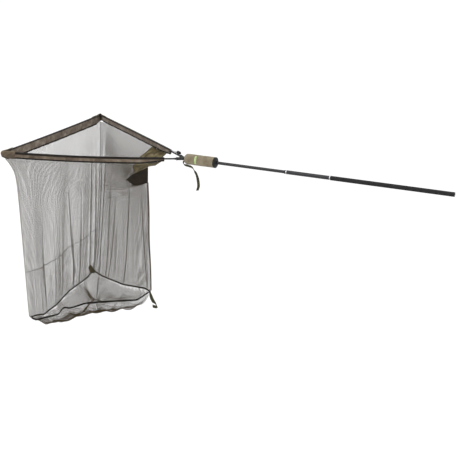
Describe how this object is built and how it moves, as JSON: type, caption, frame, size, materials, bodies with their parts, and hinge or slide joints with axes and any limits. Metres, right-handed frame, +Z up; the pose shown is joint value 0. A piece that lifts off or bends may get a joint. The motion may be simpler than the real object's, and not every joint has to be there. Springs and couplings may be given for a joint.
{
  "type": "landing net",
  "caption": "Triangular fishing landing net: telescopic handle, screw-on spreader with splayed arms, fabric sleeves, foam float and a deep hanging mesh bag.",
  "frame": {"origin": "on the handle's axis at the hand's place on the grip, 1.25 m behind the point where the two arm lines meet", "axes": "+X along the handle towards the butt, +Z up, the near arm on the -Y side, the bag hanging towards -Z"},
  "size_m": [2.5641, 1.046, 1.1587],
  "materials": {
    "carbon": "satin",
    "grip": "matte",
    "bright": "satin",
    "black_plastic": "matte",
    "alloy": "satin",
    "brass": "satin",
    "foam": "matte",
    "green": "matte",
    "sleeve": "matte",
    "olive": "matte",
    "dark_cloth": "matte",
    "webbing": "matte",
    "net": "matte",
    "cord": "matte"
  },
  "bodies": {
    "lower_handle": {"lower_tube": "carbon", "grip_wrap": "grip", "trim_ring": "bright", "collar_ring": "bright", "collar_bush": "black_plastic", "butt_cap": "black_plastic"},
    "upper_handle": {"upper_tube": "carbon", "guide_bush": "black_plastic", "threaded_insert": "brass"},
    "float": {"float_foam": "foam", "float_core": "black_plastic", "float_end_cap": "black_plastic", "float_label": "green"},
    "washer": {"lock_washer": "black_plastic"},
    "lock_button": {"cord_lock_button": "black_plastic"},
    "net_head": {"near_arm": "carbon", "far_arm": "carbon", "cord_lock_spring": "bright", "near_socket_collar": "black_plastic", "far_socket_collar": "black_plastic", "near_tip_cap": "black_plastic", "far_tip_cap": "black_plastic", "cord_lock_body": "black_plastic", "spreader_block": "alloy", "near_ferrule": "alloy", "far_ferrule": "alloy", "spreader_stud": "brass", "near_sleeve": "sleeve", "far_sleeve": "sleeve", "front_sleeve": "sleeve", "near_tip_guard": "sleeve", "far_tip_guard": "sleeve", "rear_gusset": "olive", "gusset_reinforcement": "dark_cloth", "rear_seam_tape": "dark_cloth", "near_base_tape": "dark_cloth", "far_base_tape": "dark_cloth", "front_base_tape": "dark_cloth", "rear_corner_tab": "webbing", "far_corner_tab": "webbing", "tie_strap": "webbing", "near_net": "net", "far_net": "net", "front_net": "net", "base_net": "net", "tip_cord": "cord", "elastic_cord": "cord"}
  },
  "joints": [
    {"name": "handle_telescope", "type": "slide", "parent": "lower_handle", "child": "upper_handle", "axis": [1, 0, 0], "range_m": [0, 0.27]},
    {"name": "float_slide", "type": "slide", "parent": "upper_handle", "child": "float", "axis": [1, 0, 0], "range_m": [0, 0.14]},
    {"name": "thread_advance", "type": "slide", "parent": "upper_handle", "child": "washer", "axis": [-1, 0, 0], "range_m": [0, 0.0089]},
    {"name": "spreader_screw", "type": "hinge", "parent": "washer", "child": "net_head", "pos_m": [-1.25, 0, 0], "axis": [-1, 0, 0], "range_deg": [0, 2520]},
    {"name": "cord_lock_press", "type": "slide", "parent": "net_head", "child": "lock_button", "axis": [-0.8459, 0.5328, 0.0253], "range_m": [0, 0.003], "stiffness_N_per_m": 1500, "deforming": ["cord_lock_spring"]}
  ],
  "couplings": [
    {"joint": "thread_advance", "follows": "spreader_screw", "m_per_rad": 0.00020213}
  ]
}
